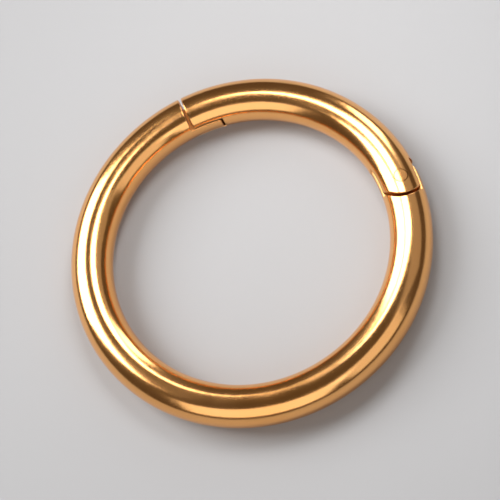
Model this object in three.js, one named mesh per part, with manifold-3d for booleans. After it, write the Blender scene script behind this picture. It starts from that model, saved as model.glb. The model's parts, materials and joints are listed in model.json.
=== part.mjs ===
// A hinged hoop of round wire, worn as a nose ring. Lengths are in millimetres and angles in degrees.
// The hoop's axis is Z. The ring lies on its side, with its underside at Z = 0 and its centre over the origin.
// Angles round the hoop run counter-clockwise from +X, seen from above.

import * as THREE from 'three';
import { mergeVertices } from 'three/addons/utils/BufferGeometryUtils.js';
import Module from 'manifold-3d';

// The hoop
const wireDiameter = 1.2;
const innerDiameter = 8.0;
const wireSides = 20;
const hoopSteps = 120;

// The gate, which is the arc that opens
const hingeSeamAngle = -13.5;
const gateSpanAngle = 100;
const seamGap = 0.08;

// The hinge pin: its place is measured from where the wire's centreline crosses the hinge seam
const pinDiameter = 0.36;
const pinRunningClearance = 0.03;
const pinOutwardOffset = 0.08;
const pinBeyondSeam = 0.62;
const pinSides = 24;

// The seam at the hinge is an arc round the pin. This far inward of the arc's lowest point it goes straight on.
const shoulderInwardAngle = 35;

// The hinge tongue on the body, between the gate's two cheeks
const hingeTongueThickness = 0.44;
const hingeTongueEndRadius = 0.5;
const hingeSideClearance = 0.04;
const hingeEndClearance = 0.08;

// The clasp tongue on the body, which the gate's slot closes over
const claspTongueThickness = 0.44;
const claspTongueLength = 0.8;
const claspTongueOuterEdge = 0.2;
const claspTongueChamfer = 0.15;
const claspSideClearance = 0.04;
const claspEndClearance = 0.06;

// How finely curved outlines are divided, and how close two corners are before they count as one
const arcSteps = 12;
const sameCornerDistance = 1e-5;

// Sizes that follow from those above
const wireRadius = wireDiameter / 2;
const hoopRadius = (innerDiameter + wireDiameter) / 2;
const claspSeamAngle = hingeSeamAngle + gateSpanAngle;
const pinRadius = pinDiameter / 2;
const boreRadius = pinRadius + pinRunningClearance;
const pastWire = wireDiameter;
const tongueRoot = wireRadius;

const polishedGold = new THREE.MeshStandardMaterial({ color: 0xdca65c, roughness: 0.14, metalness: 1 });
const goldPin = new THREE.MeshStandardMaterial({ color: 0xc9924a, roughness: 0.22, metalness: 1 });

const wasm = await Module();
wasm.setup();

// Turns a closed geometry into a solid that can be joined and cut.
function solidFrom(geometry) {
  geometry.deleteAttribute('normal');
  geometry.deleteAttribute('uv');
  const merged = mergeVertices(geometry, sameCornerDistance);
  const vertProperties = new Float32Array(merged.attributes.position.array);
  const triVerts = new Uint32Array(merged.index.array);
  return new wasm.Manifold(new wasm.Mesh({ numProp: 3, vertProperties, triVerts }));
}

// Turns a solid back into a named mesh with its own material.
function meshFrom(solid, name, material) {
  const { vertProperties, triVerts } = solid.getMesh();
  const geometry = new THREE.BufferGeometry();
  geometry.setAttribute('position', new THREE.BufferAttribute(vertProperties, 3));
  geometry.setIndex(new THREE.BufferAttribute(triVerts, 1));
  geometry.computeVertexNormals();
  const mesh = new THREE.Mesh(geometry, material);
  mesh.name = name;
  return mesh;
}

// A point given at a seam, by how far outward of the wire's centreline and how far along the wire it lies.
function pointAtSeam(seamAngle, outward, along) {
  const turn = THREE.MathUtils.degToRad(seamAngle);
  return new THREE.Vector2(hoopRadius + outward, along).rotateAround(new THREE.Vector2(), turn);
}

// Points of an arc at a seam, round a centre given as outward and along, between two angles.
function arcAtSeam(seamAngle, centre, radius, fromAngle, toAngle) {
  const points = [];
  for (let i = 0; i <= arcSteps; i += 1) {
    const turn = THREE.MathUtils.degToRad(THREE.MathUtils.lerp(fromAngle, toAngle, i / arcSteps));
    const outward = centre.outward + radius * Math.cos(turn);
    const along = centre.along + radius * Math.sin(turn);
    points.push(pointAtSeam(seamAngle, outward, along));
  }
  return points;
}

// A flat outline raised equally above and below the wire's middle plane.
function slab(points, thickness) {
  const outline = new THREE.Shape(points);
  const geometry = new THREE.ExtrudeGeometry(outline, { depth: thickness, bevelEnabled: false });
  geometry.translate(0, 0, -thickness / 2);
  return solidFrom(geometry);
}

// A rectangle at a seam, from one corner to the opposite one.
function blockAtSeam(seamAngle, outwardFrom, outwardTo, alongFrom, alongTo, thickness) {
  const points = [
    pointAtSeam(seamAngle, outwardFrom, alongFrom),
    pointAtSeam(seamAngle, outwardTo, alongFrom),
    pointAtSeam(seamAngle, outwardTo, alongTo),
    pointAtSeam(seamAngle, outwardFrom, alongTo),
  ];
  return slab(points, thickness);
}

// The whole hoop, uncut. Its wire has flat facets above, below, inside and outside that touch the round wire.
function wholeHoop() {
  const cornerRadius = wireRadius / Math.cos(Math.PI / wireSides);
  const profile = [];
  for (let i = 0; i <= wireSides; i += 1) {
    const turn = ((i + 0.5) * 2 * Math.PI) / wireSides;
    const outward = cornerRadius * Math.cos(turn);
    profile.push(new THREE.Vector2(hoopRadius + outward, cornerRadius * Math.sin(turn)));
  }
  const geometry = new THREE.LatheGeometry(profile, hoopSteps);
  geometry.rotateX(Math.PI / 2);
  return solidFrom(geometry);
}

const pinCentre = { outward: pinOutwardOffset, along: pinBeyondSeam };

// The stretch of the hoop from the hinge seam to the clasp seam. Its hinge end is rounded round the pin, so
// that it can turn past the body's end.
function gateStretch(hingeGap, claspGap) {
  const arc = arcAtSeam(hingeSeamAngle, pinCentre, pinBeyondSeam - hingeGap, -90 - shoulderInwardAngle, 0);
  const straightOn = new THREE.Vector2().subVectors(arc[0], arc[1]).setLength(pastWire);
  const hingeEnd = [new THREE.Vector2().addVectors(arc[0], straightOn), ...arc];
  const farOut = hoopRadius + pastWire;
  const outside = [];
  for (let i = 0; i < arcSteps; i += 1) {
    const angle = THREE.MathUtils.lerp(hingeSeamAngle, claspSeamAngle, i / arcSteps);
    outside.push(pointAtSeam(angle, farOut, pinBeyondSeam));
  }
  const claspEnd = [
    pointAtSeam(claspSeamAngle, farOut, claspGap),
    pointAtSeam(claspSeamAngle, -pastWire, claspGap),
  ];
  return slab([...hingeEnd, ...outside, ...claspEnd], wireDiameter + pastWire);
}

// The tongue that stands up from the body between the cheeks. Its end is rounded round the pin on the side
// that turns past the slot, and square on the inner side.
function hingeTongue(hoop) {
  const points = [
    pointAtSeam(hingeSeamAngle, -pastWire, -tongueRoot),
    pointAtSeam(hingeSeamAngle, pastWire, -tongueRoot),
    pointAtSeam(hingeSeamAngle, pastWire, pinBeyondSeam),
    ...arcAtSeam(hingeSeamAngle, pinCentre, hingeTongueEndRadius, 0, 90),
    pointAtSeam(hingeSeamAngle, -pastWire, pinBeyondSeam + hingeTongueEndRadius),
  ];
  return hoop.intersect(slab(points, hingeTongueThickness));
}

// The slot between the gate's cheeks.
function hingeSlot() {
  const bottom = pinBeyondSeam + hingeTongueEndRadius + hingeEndClearance;
  const width = hingeTongueThickness + 2 * hingeSideClearance;
  return blockAtSeam(hingeSeamAngle, -pastWire, pastWire, -tongueRoot, bottom, width);
}

// The tongue that reaches from the body's other end into the gate. It is open to the inner side only.
function claspTongue(hoop) {
  const points = [
    pointAtSeam(claspSeamAngle, -pastWire, tongueRoot),
    pointAtSeam(claspSeamAngle, -pastWire, -claspTongueLength),
    pointAtSeam(claspSeamAngle, claspTongueOuterEdge - claspTongueChamfer, -claspTongueLength),
    pointAtSeam(claspSeamAngle, claspTongueOuterEdge, claspTongueChamfer - claspTongueLength),
    pointAtSeam(claspSeamAngle, claspTongueOuterEdge, tongueRoot),
  ];
  return hoop.intersect(slab(points, claspTongueThickness));
}

// The slot in the gate that closes over the clasp tongue, open to the gate's end and its inner side.
function claspSlot() {
  const roof = claspTongueOuterEdge + claspEndClearance;
  const depth = claspTongueLength + claspEndClearance;
  const width = claspTongueThickness + 2 * claspSideClearance;
  return blockAtSeam(claspSeamAngle, -pastWire, roof, -depth, tongueRoot, width);
}

// A round bar along the hinge's axis, longer than the wire is thick.
function hingeBar(radius) {
  const place = pointAtSeam(hingeSeamAngle, pinOutwardOffset, pinBeyondSeam);
  const geometry = new THREE.CylinderGeometry(radius, radius, wireDiameter + pastWire, pinSides);
  geometry.rotateX(Math.PI / 2);
  geometry.translate(place.x, place.y, 0);
  return solidFrom(geometry);
}

function hoopBody(hoop) {
  const openHoop = hoop.subtract(gateStretch(0, seamGap));
  const body = openHoop.add(hingeTongue(hoop)).add(claspTongue(hoop)).subtract(hingeBar(boreRadius));
  return meshFrom(body, 'hoop_body', polishedGold);
}

function hingedGate(hoop) {
  const stretch = hoop.intersect(gateStretch(seamGap, 0));
  const gate = stretch.subtract(hingeSlot()).subtract(claspSlot()).subtract(hingeBar(boreRadius));
  return meshFrom(gate, 'hinged_gate', polishedGold);
}

// The pin's ends are ground flush with the wire's round surface.
function hingePin(hoop) {
  return meshFrom(hoop.intersect(hingeBar(pinRadius)), 'hinge_pin', goldPin);
}

const hoop = wholeHoop();
const noseRing = new THREE.Group();
noseRing.add(hoopBody(hoop), hingedGate(hoop), hingePin(hoop));
noseRing.position.z = wireRadius;

export default noseRing;
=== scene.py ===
"""The looks of a hinged hoop nose ring: polished gold-coloured wire, lying on a pale floor.

Lengths are in metres. Angles are in radians, except those of the lights, which are in degrees.
"""

import json
import math

import bmesh
import bpy
from mathutils import Matrix, Vector

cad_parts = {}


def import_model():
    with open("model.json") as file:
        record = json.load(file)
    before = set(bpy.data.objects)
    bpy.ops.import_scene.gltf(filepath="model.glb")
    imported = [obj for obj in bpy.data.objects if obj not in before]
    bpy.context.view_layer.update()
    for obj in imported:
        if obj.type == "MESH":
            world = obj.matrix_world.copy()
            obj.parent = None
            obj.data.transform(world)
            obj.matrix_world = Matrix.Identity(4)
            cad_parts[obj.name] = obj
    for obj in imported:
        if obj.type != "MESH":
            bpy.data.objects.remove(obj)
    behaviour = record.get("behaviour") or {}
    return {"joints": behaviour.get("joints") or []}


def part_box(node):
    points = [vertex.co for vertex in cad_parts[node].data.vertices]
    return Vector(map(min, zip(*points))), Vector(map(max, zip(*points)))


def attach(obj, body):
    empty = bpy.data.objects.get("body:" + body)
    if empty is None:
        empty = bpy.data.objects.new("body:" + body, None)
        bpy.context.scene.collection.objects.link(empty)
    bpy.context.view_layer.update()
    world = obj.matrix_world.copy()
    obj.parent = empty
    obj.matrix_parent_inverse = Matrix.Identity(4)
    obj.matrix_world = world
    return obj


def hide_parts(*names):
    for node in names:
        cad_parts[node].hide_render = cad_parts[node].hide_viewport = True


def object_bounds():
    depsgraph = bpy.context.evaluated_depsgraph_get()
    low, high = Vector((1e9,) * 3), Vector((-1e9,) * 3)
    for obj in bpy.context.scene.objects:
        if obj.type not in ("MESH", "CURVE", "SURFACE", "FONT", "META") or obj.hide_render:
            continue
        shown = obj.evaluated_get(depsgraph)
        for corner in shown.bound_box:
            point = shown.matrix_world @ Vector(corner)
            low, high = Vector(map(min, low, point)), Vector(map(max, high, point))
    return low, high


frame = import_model()
cad_low, cad_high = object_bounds()

MM = 0.001

# The wire and the hoop, from the CAD model's box
WIRE_RADIUS = (cad_high.z - cad_low.z) / 2
HOOP_RADIUS = (cad_high.x - cad_low.x) / 2 - WIRE_RADIUS
PAST_WIRE = 2 * WIRE_RADIUS
RIM_ROUNDING = 0.03 * MM

# The seams, as angles round the hoop from +X
HINGE_SEAM = math.radians(-13.5)
GATE_SPAN = math.radians(100)
CLASP_SEAM = HINGE_SEAM + GATE_SPAN
SEAM_GAP = 0.08 * MM

# The hinge pin, from the CAD model's joint and pin. The hinge seam is an arc round the pin, and past
# SHOULDER_TURN on the inner side it goes straight on.
PIN_PLACE = Vector(frame["joints"][0]["pos_m"])
PIN_LOW, PIN_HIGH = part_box("hinge_pin")
PIN_RADIUS = (PIN_HIGH.y - PIN_LOW.y) / 2
PIN_HAIRLINE = 0.02 * MM
PIN_BAR_LENGTH = 4 * WIRE_RADIUS
PIN_AT_SEAM = Matrix.Rotation(-HINGE_SEAM, 3, "Z") @ PIN_PLACE
PIN_OUTWARD = PIN_AT_SEAM.x - HOOP_RADIUS
PIN_ALONG = PIN_AT_SEAM.y
SHOULDER_TURN = math.radians(35)
WIRE_AT_PIN = math.radians(30)

# The tongues on the body
TONGUE_HALF = 0.22 * MM
HINGE_TONGUE_END = 0.5 * MM
CLASP_TONGUE_LENGTH = 0.8 * MM
CLASP_TONGUE_EDGE = 0.2 * MM
CLASP_TONGUE_CHAMFER = 0.15 * MM
EDGE_CHAMFER = 0.02 * MM

# How far back from the cut end a tongue's root starts, stops being sunk in the wire, and has its full size
TONGUE_ROOT = 0.8 * WIRE_RADIUS
TONGUE_SUNK_TO = 1.5 * RIM_ROUNDING
TONGUE_FULL_FROM = 0.6 * RIM_ROUNDING
TONGUE_SINK = 2 * EDGE_CHAMFER

# The tongues' slots in the gate
SLOT_HALF = 0.26 * MM
HINGE_SLOT_CLEARANCE = 0.08 * MM
HINGE_SLOT_BOTTOM = PIN_ALONG + HINGE_TONGUE_END + HINGE_SLOT_CLEARANCE
CLASP_SLOT_CLEARANCE = 0.06 * MM

# How finely the meshes are divided, and when points and directions count as the same
SIDES = 96
STEP = 0.09 * MM
RIM_STEPS = 5
TONGUE_STEPS = 24
SLOT_STEPS = 16
PIN_SIDES = 96
TURN_ROUNDS = 12
SAME_POINT = 0.0002 * MM
SKIN_TOLERANCE = 0.001 * MM
SKIN_FACE_COSINE = 0.94
SHARP_ANGLE = math.radians(28)

# The metal's colours, which are linear, and its roughness
COATING_DARK = (0.93, 0.455, 0.15)
COATING_LIGHT = (0.95, 0.49, 0.18)
COATING_ROUGHNESS = 0.17
PIN_DARK = (0.86, 0.40, 0.13)
PIN_LIGHT = (0.90, 0.44, 0.155)
PIN_ROUGHNESS = 0.24

# The metal's unevenness. Scales are features to the metre.
TINT_SCALE = 400
TINT_DETAIL = 3
TINT_LOW = 0.3
TINT_HIGH = 0.7
POLISH_SCALE = 1500
POLISH_DETAIL = 4
POLISH_SPREAD = 1.25
RIPPLE_SCALE = 4000
RIPPLE_DETAIL = 4
RIPPLE_DEPTH = 0.002 * MM
SCRATCH_SCALE = 14000
SCRATCH_DRAW = 0.04
SCRATCH_DETAIL = 3
SCRATCH_DEPTH = 0.0008 * MM

# The faces inside the joints are less polished than the outside of the wire, and their colour is darkened
# with painted shade, as the joints' recesses lie in shade
DULL_AND_SHADE_SHARE = "dull_and_shade_share"
DULL_AND_SHADE_DEPTH = 0.05 * MM
# The colour of the painted shade in the joints' recesses
PAINTED_SHADE_COLOUR = (0.42, 0.18, 0.055)
DULL_ROUGHNESS = 0.42

# The camera and the lights are turned about the hoop's axis, which puts the hinge seam where the photograph
# shows it
VIEW_TURN = Matrix.Rotation(math.radians(3.75), 3, "Z")

# The camera looks at the hoop as the photograph does, and the picture is turned about the line of sight
CAMERA_ELEVATION = math.radians(65.7)
CAMERA_ROLL = math.radians(32.4)
CAMERA_LENS = 200
SENSOR_WIDTH = 36
HOOP_SHARE_OF_FRAME = 0.74
NEAREST_SEEN = 1 * MM
FARTHEST_SEEN = 2

# The floor, and what surrounds the scene
FLOOR_RADIUS = 0.6
FLOOR_SIDES = 128
FLOOR_COLOUR = (0.41, 0.41, 0.42)
FLOOR_ROUGHNESS = 0.7
SURROUND_COLOUR = (1, 0.8, 0.6)
SURROUND_STRENGTH = 0.1

# The lights: most stand well away, and one hangs close above the hoop's hinge side
FAR_LIGHT = 120 * MM
NEAR_LIGHT = 20 * MM
NEAR_LIGHT_AIM = Vector((6.2 * MM, -1.5 * MM, WIRE_RADIUS))


def new_object(name, mesh):
    """A new object that shows this mesh."""
    obj = bpy.data.objects.new(name, mesh)
    bpy.context.scene.collection.objects.link(obj)
    return obj


def ring_point(turn, outward, up):
    """The point at an angle round the hoop, outward of the wire's centreline and above its middle plane."""
    reach = HOOP_RADIUS + outward
    return Vector((reach * math.cos(turn), reach * math.sin(turn), WIRE_RADIUS + up))


def turn_at(seam, outward, along_at):
    """The angle at which a line along the wire meets the outline of an end at a seam.

    along_at gives how far along the wire the outline is, from how far outward it is.
    """
    reach = HOOP_RADIUS + outward
    turn = 0
    for _ in range(TURN_ROUNDS):
        along = along_at(reach * math.cos(turn) - HOOP_RADIUS)
        turn = math.asin(along / reach)
    return seam + turn


def shoulder(gap):
    """The outline of the hinge seam: an arc round the pin that goes straight on to the inner side."""
    radius = PIN_ALONG - gap
    arc_start = -radius * math.sin(SHOULDER_TURN)
    arc_start_along = PIN_ALONG - radius * math.cos(SHOULDER_TURN)

    def along_at(outward):
        across = outward - PIN_OUTWARD
        if across < arc_start:
            return arc_start_along + (arc_start - across) * math.tan(SHOULDER_TURN)
        return PIN_ALONG - math.sqrt(radius**2 - across**2)

    return along_at


def flat_end(along):
    """The outline of an end that is cut straight across the wire."""
    return lambda outward: along


def hinge_tongue_end(outward):
    """The outline of the hinge tongue's end, rounded round the pin on the outer side."""
    across = min(max(outward - PIN_OUTWARD, 0), HINGE_TONGUE_END)
    return PIN_ALONG + math.sqrt(HINGE_TONGUE_END**2 - across**2)


def clasp_tongue_end(outward):
    """The outline of the clasp tongue's end, chamfered at its outer corner."""
    return max(outward - CLASP_TONGUE_EDGE + CLASP_TONGUE_CHAMFER, 0) - CLASP_TONGUE_LENGTH


def shifted(along_at, by):
    """An outline moved along the wire."""
    return lambda outward: along_at(outward) + by


def between(first_at, second_at, share):
    """An outline at a share of the way from one outline to another."""
    return lambda outward: first_at(outward) * (1 - share) + second_at(outward) * share


def mirrored(upper):
    """A closed section from its upper half, which runs from the outer side to the inner side."""
    return upper + [(outward, -up) for outward, up in reversed(upper[1:-1])]


def wire_section(radius):
    """The round section of the wire."""
    half_sides = SIDES // 2
    turns = [math.pi * i / half_sides for i in range(half_sides + 1)]
    return mirrored([(radius * math.cos(t), radius * math.sin(t)) for t in turns])


def arc_part(radius, half, side):
    """Points of the wire's round surface, up to half above its middle plane, for a section's upper half.

    side is 1 on the outer side and -1 on the inner side.
    """
    reach = math.asin(half / radius)
    points = []
    for i in range(SLOT_STEPS + 1):
        up = radius * math.sin(reach * i / SLOT_STEPS)
        points.append((math.copysign(math.sqrt(radius**2 - up**2), side), up))
    return points if side > 0 else points[::-1]


def tongue_section(radius, half, outer_edge=None):
    """A flat tongue that fills the wire's width, or only its inner side up to outer_edge."""
    below_chamfer = half - EDGE_CHAMFER
    inner = arc_part(radius, below_chamfer, -1)
    inner_corner = inner[0][0] + EDGE_CHAMFER
    if outer_edge is None:
        outer = arc_part(radius, below_chamfer, 1)
        outer_corner = outer[-1][0] - EDGE_CHAMFER
    else:
        outer = [(outer_edge, below_chamfer * i / SLOT_STEPS) for i in range(SLOT_STEPS + 1)]
        outer_corner = outer_edge - EDGE_CHAMFER
    flank = []
    for i in range(TONGUE_STEPS + 1):
        share = i / TONGUE_STEPS
        flank.append((outer_corner + (inner_corner - outer_corner) * share, half))
    return mirrored(outer + flank + inner)


def slot_section(half, outer_edge=None):
    """A slot across the wire whose long edges are chamfered, or one that stops at outer_edge."""
    lip = math.sqrt(WIRE_RADIUS**2 - half**2) - EDGE_CHAMFER
    beyond = half + PAST_WIRE - lip
    inner = [(-lip, half), (-PAST_WIRE, beyond), (-PAST_WIRE, 0)]
    if outer_edge is None:
        outer = [(PAST_WIRE, 0), (PAST_WIRE, beyond), (lip, half)]
    else:
        outer = [(outer_edge, 0), (outer_edge, half)]
    return mirrored(outer + inner)


def close_end(bm, row):
    """Closes a loop with upright strips, each between some of its upper points and their mirrors below."""
    half = len(row) // 2
    across = [k for k in range(half) if (row[k].co.xy - row[k + 1].co.xy).length > SAME_POINT]
    borders = [0, *across[1:], half]
    for start, end in zip(borders, borders[1:]):
        upper = [row[k] for k in range(start, end + 1)]
        lower = [row[-k] for k in range(end, start - 1, -1)]
        bm.faces.new(list(dict.fromkeys(upper + lower)))


def loft(name, loops):
    """A closed mesh through loops of points."""
    bm = bmesh.new()
    rows = [[bm.verts.new(point) for point in loop] for loop in loops]
    count = len(rows[0])
    for row, following in zip(rows, rows[1:]):
        for i in range(count):
            k = (i + 1) % count
            bm.faces.new((row[i], row[k], following[k], following[i]))
    close_end(bm, rows[0])
    close_end(bm, rows[-1])
    bmesh.ops.recalc_face_normals(bm, faces=bm.faces)
    mesh = bpy.data.meshes.new(name)
    bm.to_mesh(mesh)
    bm.free()
    return new_object(name, mesh)


def loop_between(section, starts, ends, share):
    """A loop of the section, at a share of the way from one list of angles to another."""
    points = []
    for (outward, up), start, end in zip(section, starts, ends):
        points.append(ring_point(start + (end - start) * share, outward, up))
    return points


def rim(seam, along_at, side):
    """Loops that round off a cut end of the wire, from the full wire to the end.

    side is 1 where a stretch of wire ends and -1 where it starts.
    """
    loops = []
    for i in range(RIM_STEPS + 1):
        lean = math.pi / 2 * i / RIM_STEPS
        section = wire_section(WIRE_RADIUS - RIM_ROUNDING * (1 - math.cos(lean)))
        back = RIM_ROUNDING * (1 - math.sin(lean))
        loop = []
        for outward, up in section:
            turn = turn_at(seam, outward, along_at) - side * back / (HOOP_RADIUS + outward)
            loop.append(ring_point(turn, outward, up))
        loops.append(loop)
    return loops


def wire_stretch(name, start_seam, start_at, end_seam, end_at):
    """A stretch of wire between two cut ends with rounded rims."""
    section = wire_section(WIRE_RADIUS)
    starts = []
    ends = []
    for outward, _ in section:
        rim_turn = RIM_ROUNDING / (HOOP_RADIUS + outward)
        starts.append(turn_at(start_seam, outward, start_at) + rim_turn)
        ends.append(turn_at(end_seam, outward, end_at) - rim_turn)
    steps = round((end_seam - start_seam) * HOOP_RADIUS / STEP)
    middle = [loop_between(section, starts, ends, i / steps) for i in range(1, steps)]
    return loft(name, rim(start_seam, start_at, -1)[::-1] + middle + rim(end_seam, end_at, 1))


def bar_along(name, sections, seam, outlines):
    """A bar that follows the wire, through a section for each outline of where it is along the wire."""
    loops = []
    for section, along_at in zip(sections, outlines):
        loops.append([ring_point(turn_at(seam, outward, along_at), outward, up) for outward, up in section])
    return loft(name, loops)


def tongue(name, seam, root_at, end_at, direction, outer_edge=None):
    """A tongue that rises out of a cut end, along the wire if direction is 1 and back if it is -1.

    Its root is sunk below the wire's surface until the rim rounds away.
    """
    sunk = tongue_section(WIRE_RADIUS - TONGUE_SINK, TONGUE_HALF - EDGE_CHAMFER, outer_edge)
    full = tongue_section(WIRE_RADIUS, TONGUE_HALF, outer_edge)
    tip = tongue_section(WIRE_RADIUS - EDGE_CHAMFER, TONGUE_HALF - EDGE_CHAMFER, outer_edge)
    full_from = shifted(root_at, -direction * TONGUE_FULL_FROM)
    full_to = shifted(end_at, -direction * EDGE_CHAMFER)
    sections = [sunk, sunk, full]
    outlines = [
        shifted(root_at, -direction * TONGUE_ROOT),
        shifted(root_at, -direction * TONGUE_SUNK_TO),
        full_from,
    ]
    for i in range(1, TONGUE_STEPS + 1):
        sections.append(full)
        outlines.append(between(full_from, full_to, i / TONGUE_STEPS))
    sections.append(tip)
    outlines.append(end_at)
    return bar_along(name, sections, seam, outlines)


def slot_cutter(name, seam, from_along, to_along, outer_edge=None):
    """What is cut away for a slot, in short steps so that it follows the wire."""
    section = slot_section(SLOT_HALF, outer_edge)
    outlines = []
    for i in range(SLOT_STEPS + 1):
        outlines.append(flat_end(from_along + (to_along - from_along) * i / SLOT_STEPS))
    return bar_along(name, [section] * len(outlines), seam, outlines)


def upright_bar(name, radius):
    """A round bar along the hinge's axis, longer than the wire is thick."""
    bm = bmesh.new()
    bmesh.ops.create_cone(
        bm,
        cap_ends=True,
        segments=PIN_SIDES,
        radius1=radius,
        radius2=radius,
        depth=PIN_BAR_LENGTH,
        matrix=Matrix.Translation(PIN_PLACE),
    )
    mesh = bpy.data.meshes.new(name)
    bm.to_mesh(mesh)
    bm.free()
    return new_object(name, mesh)


def merge_close_points(mesh):
    """Removes the slivers that a cut can leave."""
    bm = bmesh.new()
    bm.from_mesh(mesh)
    bmesh.ops.remove_doubles(bm, verts=bm.verts, dist=SAME_POINT)
    bmesh.ops.dissolve_degenerate(bm, edges=bm.edges, dist=SAME_POINT)
    bm.to_mesh(mesh)
    bm.free()


def combine(piece, other, operation):
    """Joins, cuts or intersects a piece with another, which is used up."""
    change = piece.modifiers.new("combine", "BOOLEAN")
    change.operation = operation
    change.solver = "EXACT"
    change.object = other
    result = piece.evaluated_get(bpy.context.evaluated_depsgraph_get())
    mesh = bpy.data.meshes.new_from_object(result)
    merge_close_points(mesh)
    old = piece.data
    piece.modifiers.clear()
    piece.data = mesh
    mesh.name = piece.name
    bpy.data.meshes.remove(old)
    bpy.data.meshes.remove(other.data)
    return piece


def out_from_wire(spot):
    """The vector to a point from the nearest point of the wire's centreline."""
    middle = Vector((spot.x, spot.y, 0)).normalized() * HOOP_RADIUS
    return spot - Vector((middle.x, middle.y, WIRE_RADIUS))


def mark_dull_and_shaded_faces(mesh):
    """Stores how dull the metal is at each point, and how much painted shade darkens it, by how deep it
    lies below the wire's round surface.
    """
    dull = mesh.attributes.new(DULL_AND_SHADE_SHARE, "FLOAT", "POINT")
    for vertex in mesh.vertices:
        depth = WIRE_RADIUS - out_from_wire(vertex.co).length
        dull.data[vertex.index].value = min(max(depth / DULL_AND_SHADE_DEPTH, 0), 1)


def smooth_skin(mesh):
    """Smooth shading with hard edges, and the wire's true direction wherever a face lies on its surface."""
    mesh.shade_smooth()
    mesh.set_sharp_from_angle(angle=SHARP_ANGLE)
    normals = [Vector(corner.vector) for corner in mesh.corner_normals]
    for face in mesh.polygons:
        for corner in face.loop_indices:
            out = out_from_wire(mesh.vertices[mesh.loops[corner].vertex_index].co)
            on_skin = abs(out.length - WIRE_RADIUS) < SKIN_TOLERANCE
            if on_skin and out.normalized().dot(face.normal) > SKIN_FACE_COSINE:
                normals[corner] = out.normalized()
    mesh.normals_split_custom_set(normals)


def hoop_body():
    """The long arc of the hoop, with the hinge tongue at one end and the clasp tongue at the other."""
    clasp_at = flat_end(SEAM_GAP)
    hinge_at = shoulder(0)
    body = wire_stretch("hoop_body_smooth", CLASP_SEAM, clasp_at, math.tau + HINGE_SEAM, hinge_at)
    combine(body, tongue("hinge_tongue", HINGE_SEAM, hinge_at, hinge_tongue_end, 1), "UNION")
    clasp_tongue = tongue("clasp_tongue", CLASP_SEAM, clasp_at, clasp_tongue_end, -1, CLASP_TONGUE_EDGE)
    combine(body, clasp_tongue, "UNION")
    combine(body, upright_bar("body_bore", PIN_RADIUS + PIN_HAIRLINE), "DIFFERENCE")
    return body


def hinged_gate():
    """The short arc that opens, with cheeks and a slot at the hinge and a slot at the clasp."""
    gate = wire_stretch("hinged_gate_smooth", HINGE_SEAM, shoulder(SEAM_GAP), CLASP_SEAM, flat_end(0))
    hinge_slot = slot_cutter("hinge_slot", HINGE_SEAM, -PAST_WIRE, HINGE_SLOT_BOTTOM)
    combine(gate, hinge_slot, "DIFFERENCE")
    depth = CLASP_TONGUE_LENGTH + CLASP_SLOT_CLEARANCE
    roof = CLASP_TONGUE_EDGE + CLASP_SLOT_CLEARANCE
    clasp_slot = slot_cutter("clasp_slot", CLASP_SEAM, -depth, PAST_WIRE, roof)
    combine(gate, clasp_slot, "DIFFERENCE")
    combine(gate, upright_bar("gate_bore", PIN_RADIUS + PIN_HAIRLINE), "DIFFERENCE")
    return gate


def hinge_pin():
    """The pin, ground flush with the wire's round surface."""
    pin = upright_bar("hinge_pin_smooth", PIN_RADIUS)
    wire_end = HINGE_SEAM + WIRE_AT_PIN
    around = wire_stretch("wire_at_pin", HINGE_SEAM, flat_end(-PAST_WIRE), wire_end, flat_end(0))
    return combine(pin, around, "INTERSECT")


def noise(tree, place, scale, detail):
    """The value of a noise texture, whose scale is given as features to the metre."""
    texture = tree.nodes.new("ShaderNodeTexNoise")
    texture.inputs["Scale"].default_value = scale
    texture.inputs["Detail"].default_value = detail
    tree.links.new(place, texture.inputs["Vector"])
    return texture.outputs["Fac"]


def toned_colour(tree, place, dullness_and_shade, dark, light):
    """The metal's colour, which changes slowly over the surface and is darkened inside the joints with
    painted shade.
    """
    colours = tree.nodes.new("ShaderNodeValToRGB")
    first, last = colours.color_ramp.elements
    first.position = TINT_LOW
    first.color = (*dark, 1)
    last.position = TINT_HIGH
    last.color = (*light, 1)
    tree.links.new(noise(tree, place, TINT_SCALE, TINT_DETAIL), colours.inputs["Fac"])
    # Painted shade: the joints' recesses are darkened in colour by how far below the wire's surface they
    # lie
    painted_shade = tree.nodes.new("ShaderNodeMixRGB")
    painted_shade.inputs["Color2"].default_value = (*PAINTED_SHADE_COLOUR, 1)
    tree.links.new(dullness_and_shade, painted_shade.inputs["Fac"])
    tree.links.new(colours.outputs["Color"], painted_shade.inputs["Color1"])
    return painted_shade.outputs["Color"]


def uneven_polish(tree, place, dullness_and_shade, roughness):
    """The roughness, which varies a little over the surface and is higher inside the joints."""
    spread = tree.nodes.new("ShaderNodeMapRange")
    spread.inputs["To Min"].default_value = roughness / POLISH_SPREAD
    spread.inputs["To Max"].default_value = roughness * POLISH_SPREAD
    tree.links.new(noise(tree, place, POLISH_SCALE, POLISH_DETAIL), spread.inputs["Value"])
    duller = tree.nodes.new("ShaderNodeMapRange")
    duller.inputs["To Max"].default_value = DULL_ROUGHNESS
    tree.links.new(dullness_and_shade, duller.inputs["Value"])
    tree.links.new(spread.outputs["Result"], duller.inputs["To Min"])
    return duller.outputs["Result"]


def multiplied(tree, vector, factors):
    """A vector whose numbers are each multiplied by a factor."""
    product = tree.nodes.new("ShaderNodeVectorMath")
    product.operation = "MULTIPLY"
    first, second = product.inputs[:2]
    second.default_value = factors
    tree.links.new(vector, first)
    return product.outputs["Vector"]


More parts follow.
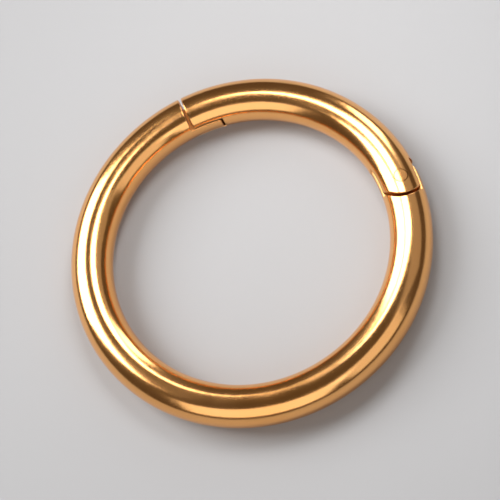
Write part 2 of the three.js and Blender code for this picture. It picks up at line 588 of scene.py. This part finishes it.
def along_the_wire(tree, place):
    """Coordinates whose first number follows the wire, so that a texture can be drawn out along it."""
    parts = tree.nodes.new("ShaderNodeSeparateXYZ")
    tree.links.new(place, parts.inputs["Vector"])
    turn = tree.nodes.new("ShaderNodeMath")
    turn.operation = "ARCTAN2"
    opposite, adjacent = turn.inputs[:2]
    tree.links.new(parts.outputs["Y"], opposite)
    tree.links.new(parts.outputs["X"], adjacent)
    reach = tree.nodes.new("ShaderNodeVectorMath")
    reach.operation = "LENGTH"
    tree.links.new(multiplied(tree, place, (1, 1, 0)), reach.inputs["Vector"])
    follow = tree.nodes.new("ShaderNodeCombineXYZ")
    tree.links.new(turn.outputs["Value"], follow.inputs["X"])
    tree.links.new(reach.outputs["Value"], follow.inputs["Y"])
    tree.links.new(parts.outputs["Z"], follow.inputs["Z"])
    return multiplied(tree, follow.outputs["Vector"], (HOOP_RADIUS * SCRATCH_DRAW, 1, 1))


def relief(tree, height, depth, under=None):
    """A bump of a depth in metres, laid over another."""
    bump = tree.nodes.new("ShaderNodeBump")
    bump.inputs["Distance"].default_value = depth
    tree.links.new(height, bump.inputs["Height"])
    if under is not None:
        tree.links.new(under, bump.inputs["Normal"])
    return bump.outputs["Normal"]


def gold(name, dark, light, roughness):
    """Polished gold-coloured metal with slow changes of tone, uneven polish, ripples, fine lines and
    painted shade inside the joints.
    """
    material = bpy.data.materials.new(name)
    material.use_nodes = True
    tree = material.node_tree
    shader = tree.nodes["Principled BSDF"]
    shader.inputs["Metallic"].default_value = 1
    place = tree.nodes.new("ShaderNodeTexCoord").outputs["Object"]
    stored = tree.nodes.new("ShaderNodeAttribute")
    stored.attribute_name = DULL_AND_SHADE_SHARE
    dullness_and_shade = stored.outputs["Fac"]
    ripples = relief(tree, noise(tree, place, RIPPLE_SCALE, RIPPLE_DETAIL), RIPPLE_DEPTH)
    lines = noise(tree, along_the_wire(tree, place), SCRATCH_SCALE, SCRATCH_DETAIL)
    tree.links.new(toned_colour(tree, place, dullness_and_shade, dark, light), shader.inputs["Base Color"])
    tree.links.new(uneven_polish(tree, place, dullness_and_shade, roughness), shader.inputs["Roughness"])
    tree.links.new(relief(tree, lines, SCRATCH_DEPTH, ripples), shader.inputs["Normal"])
    return material


def floor():
    """A plain pale floor, round so that no corner shows."""
    bm = bmesh.new()
    bmesh.ops.create_circle(bm, cap_ends=True, segments=FLOOR_SIDES, radius=FLOOR_RADIUS)
    mesh = bpy.data.meshes.new("floor")
    bm.to_mesh(mesh)
    bm.free()
    obj = new_object("floor", mesh)
    material = bpy.data.materials.new("floor_pale")
    material.use_nodes = True
    shader = material.node_tree.nodes["Principled BSDF"]
    shader.inputs["Base Color"].default_value = (*FLOOR_COLOUR, 1)
    shader.inputs["Roughness"].default_value = FLOOR_ROUGHNESS
    mesh.materials.append(material)


def width_of(distance, degrees):
    """The width that spans an angle in degrees, seen from a distance."""
    return 2 * distance * math.tan(math.radians(degrees / 2))


def softbox(name, azimuth, elevation, wide, high, brightness, distance=FAR_LIGHT, aim=Vector()):
    """A rectangular light. Its direction and size, as seen from the point it faces, are in degrees."""
    data = bpy.data.lights.new(name, "AREA")
    data.shape = "RECTANGLE"
    data.size = width_of(distance, wide)
    data.size_y = width_of(distance, high)
    data.energy = brightness * math.pi * data.size * data.size_y
    turn = math.radians(azimuth)
    rise = math.radians(elevation)
    unturned = Vector((math.cos(turn) * math.cos(rise), math.sin(turn) * math.cos(rise), math.sin(rise)))
    towards = VIEW_TURN @ unturned
    obj = new_object(name, data)
    obj.location = VIEW_TURN @ aim + towards * distance
    obj.rotation_euler = towards.to_track_quat("Z", "Y").to_euler()
    obj.visible_camera = False


def lights():
    """Soft lights, placed so that the wire shows the photograph's streaks and stripes."""
    # The white streak on the inner side, and its widest part beside the hinge
    softbox("key_light", azimuth=129, elevation=39, wide=37, high=40, brightness=8)
    softbox(
        "near_light",
        azimuth=90,
        elevation=66,
        wide=27,
        high=25,
        brightness=8,
        distance=NEAR_LIGHT,
        aim=NEAR_LIGHT_AIM,
    )
    # The thin outer streak above the hinge seam
    softbox("thin_light", azimuth=38, elevation=26, wide=14, high=26, brightness=5)
    # The orange stripe along the bottom, the brown corner at the lower right, and the tan above that
    softbox("front_fill", azimuth=-126, elevation=34, wide=64, high=44, brightness=1.2)
    softbox("corner_fill", azimuth=-64, elevation=34, wide=36, high=44, brightness=0.8)
    softbox("right_fill", azimuth=5, elevation=46, wide=56, high=40, brightness=0.3)


def camera():
    """A camera at the photograph's angle to the hoop, with the picture turned as it is there."""
    data = bpy.data.cameras.new("camera")
    data.lens = CAMERA_LENS
    data.sensor_width = SENSOR_WIDTH
    data.clip_start = NEAREST_SEEN
    data.clip_end = FARTHEST_SEEN
    across = 2 * (HOOP_RADIUS + WIRE_RADIUS) / HOOP_SHARE_OF_FRAME
    distance = across / SENSOR_WIDTH * CAMERA_LENS
    back = VIEW_TURN @ Vector((0, -math.cos(CAMERA_ELEVATION), math.sin(CAMERA_ELEVATION)))
    right = VIEW_TURN @ Vector((1, 0, 0))
    up = back.cross(right)
    turned_right = math.cos(CAMERA_ROLL) * right - math.sin(CAMERA_ROLL) * up
    turned_up = math.sin(CAMERA_ROLL) * right + math.cos(CAMERA_ROLL) * up
    obj = new_object("camera", data)
    obj.location = Vector((0, 0, WIRE_RADIUS)) + back * distance
    obj.rotation_euler = Matrix((turned_right, turned_up, back)).transposed().to_euler()
    bpy.context.scene.camera = obj


def world():
    """A dim warm surrounding, which the polished metal shows between the lights."""
    surround = bpy.data.worlds.new("studio")
    surround.use_nodes = True
    background = surround.node_tree.nodes["Background"]
    background.inputs["Color"].default_value = (*SURROUND_COLOUR, 1)
    background.inputs["Strength"].default_value = SURROUND_STRENGTH
    bpy.context.scene.world = surround


def dress(piece, node, body, material):
    """Gives a piece its material and its place in the table, and hides the CAD node that it stands for."""
    smooth_skin(piece.data)
    mark_dull_and_shaded_faces(piece.data)
    piece.data.materials.clear()
    piece.data.materials.append(material)
    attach(piece, body)
    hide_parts(node)


camera()
coating = gold("polished_gold", COATING_DARK, COATING_LIGHT, COATING_ROUGHNESS)
pin_finish = gold("pin_gold", PIN_DARK, PIN_LIGHT, PIN_ROUGHNESS)
dress(hoop_body(), "hoop_body", "hoop", coating)
dress(hinged_gate(), "hinged_gate", "gate", coating)
dress(hinge_pin(), "hinge_pin", "gate", pin_finish)

floor()
world()
lights()
bpy.context.scene.view_settings.view_transform = "Standard"
